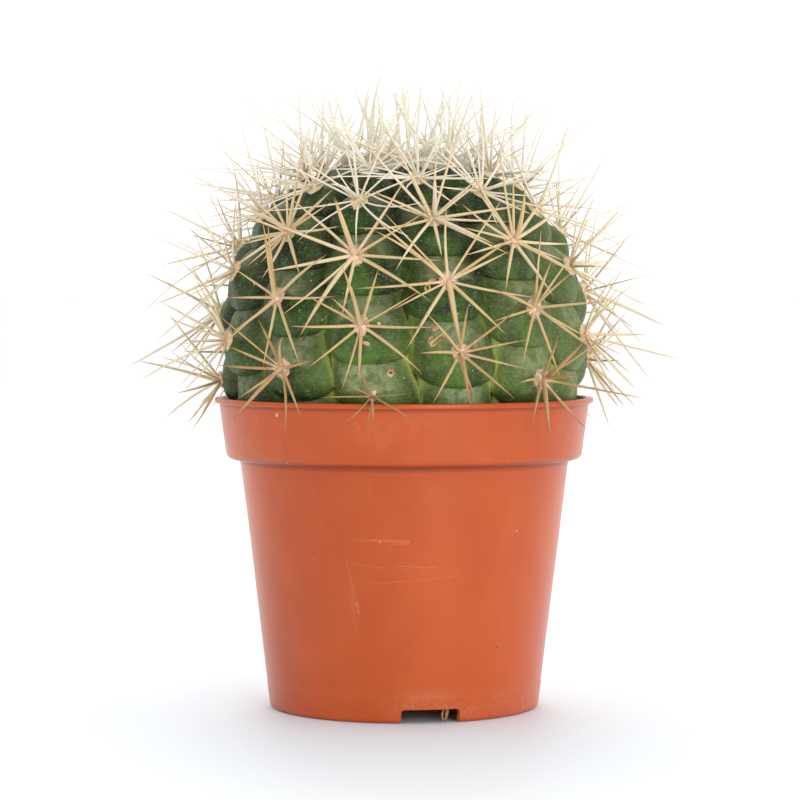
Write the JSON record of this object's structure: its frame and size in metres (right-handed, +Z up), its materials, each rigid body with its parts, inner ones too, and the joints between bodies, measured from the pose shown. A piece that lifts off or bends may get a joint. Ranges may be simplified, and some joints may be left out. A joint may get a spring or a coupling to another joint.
{
  "type": "potted round cactus",
  "caption": "Young round cactus with knobbly spiral ribs, starry straw-coloured spines and a pale woolly crown, growing in a terracotta-coloured plastic nursery pot.",
  "frame": {"origin": "centre of the pot's foot, on the surface it stands on, under the middle of the overall box", "axes": "+Z up along the pot's axis; the pictured front faces -Y, with the drain notch just right of the middle; +X is to its right"},
  "size_m": [0.1696, 0.1691, 0.1994],
  "materials": {
    "pot_plastic": "satin moulded polypropylene",
    "soil": "coarse dark potting mix; wood's density stands in for it",
    "skin": "waxy green skin; leather's density stands in for the juicy stem",
    "root": "fibrous",
    "spines": "horny straw-coloured spines on felted pads",
    "young_spines": "pale young spines in white wool"
  },
  "bodies": {
    "root": {"pot": "pot_plastic", "soil": "soil", "stem": "skin", "roots": "root", "areole_25": "spines", "areole_26": "spines", "areole_27": "spines", "areole_28": "spines", "areole_29": "spines", "areole_30": "spines", "areole_31": "spines", "areole_32": "spines", "areole_33": "spines", "areole_34": "spines", "areole_35": "spines", "areole_36": "spines", "areole_37": "spines", "areole_38": "spines", "areole_39": "spines", "areole_40": "spines", "areole_41": "spines", "areole_42": "spines", "areole_43": "spines", "areole_44": "spines", "areole_45": "spines", "areole_46": "spines", "areole_47": "spines", "areole_48": "spines", "areole_49": "spines", "areole_50": "spines", "areole_51": "spines", "areole_52": "spines", "areole_53": "spines", "areole_54": "spines", "areole_55": "spines", "areole_56": "spines", "areole_57": "spines", "areole_58": "spines", "areole_59": "spines", "areole_60": "spines", "areole_61": "spines", "areole_62": "spines", "areole_63": "spines", "areole_64": "spines", "areole_65": "spines", "areole_66": "spines", "areole_67": "spines", "areole_68": "spines", "areole_69": "spines", "areole_70": "spines", "areole_71": "spines", "areole_72": "spines", "areole_73": "spines", "areole_74": "spines", "areole_75": "spines", "areole_76": "spines", "areole_77": "spines", "areole_78": "spines", "areole_79": "spines", "crown": "young_spines"}
  },
  "joints": []
}
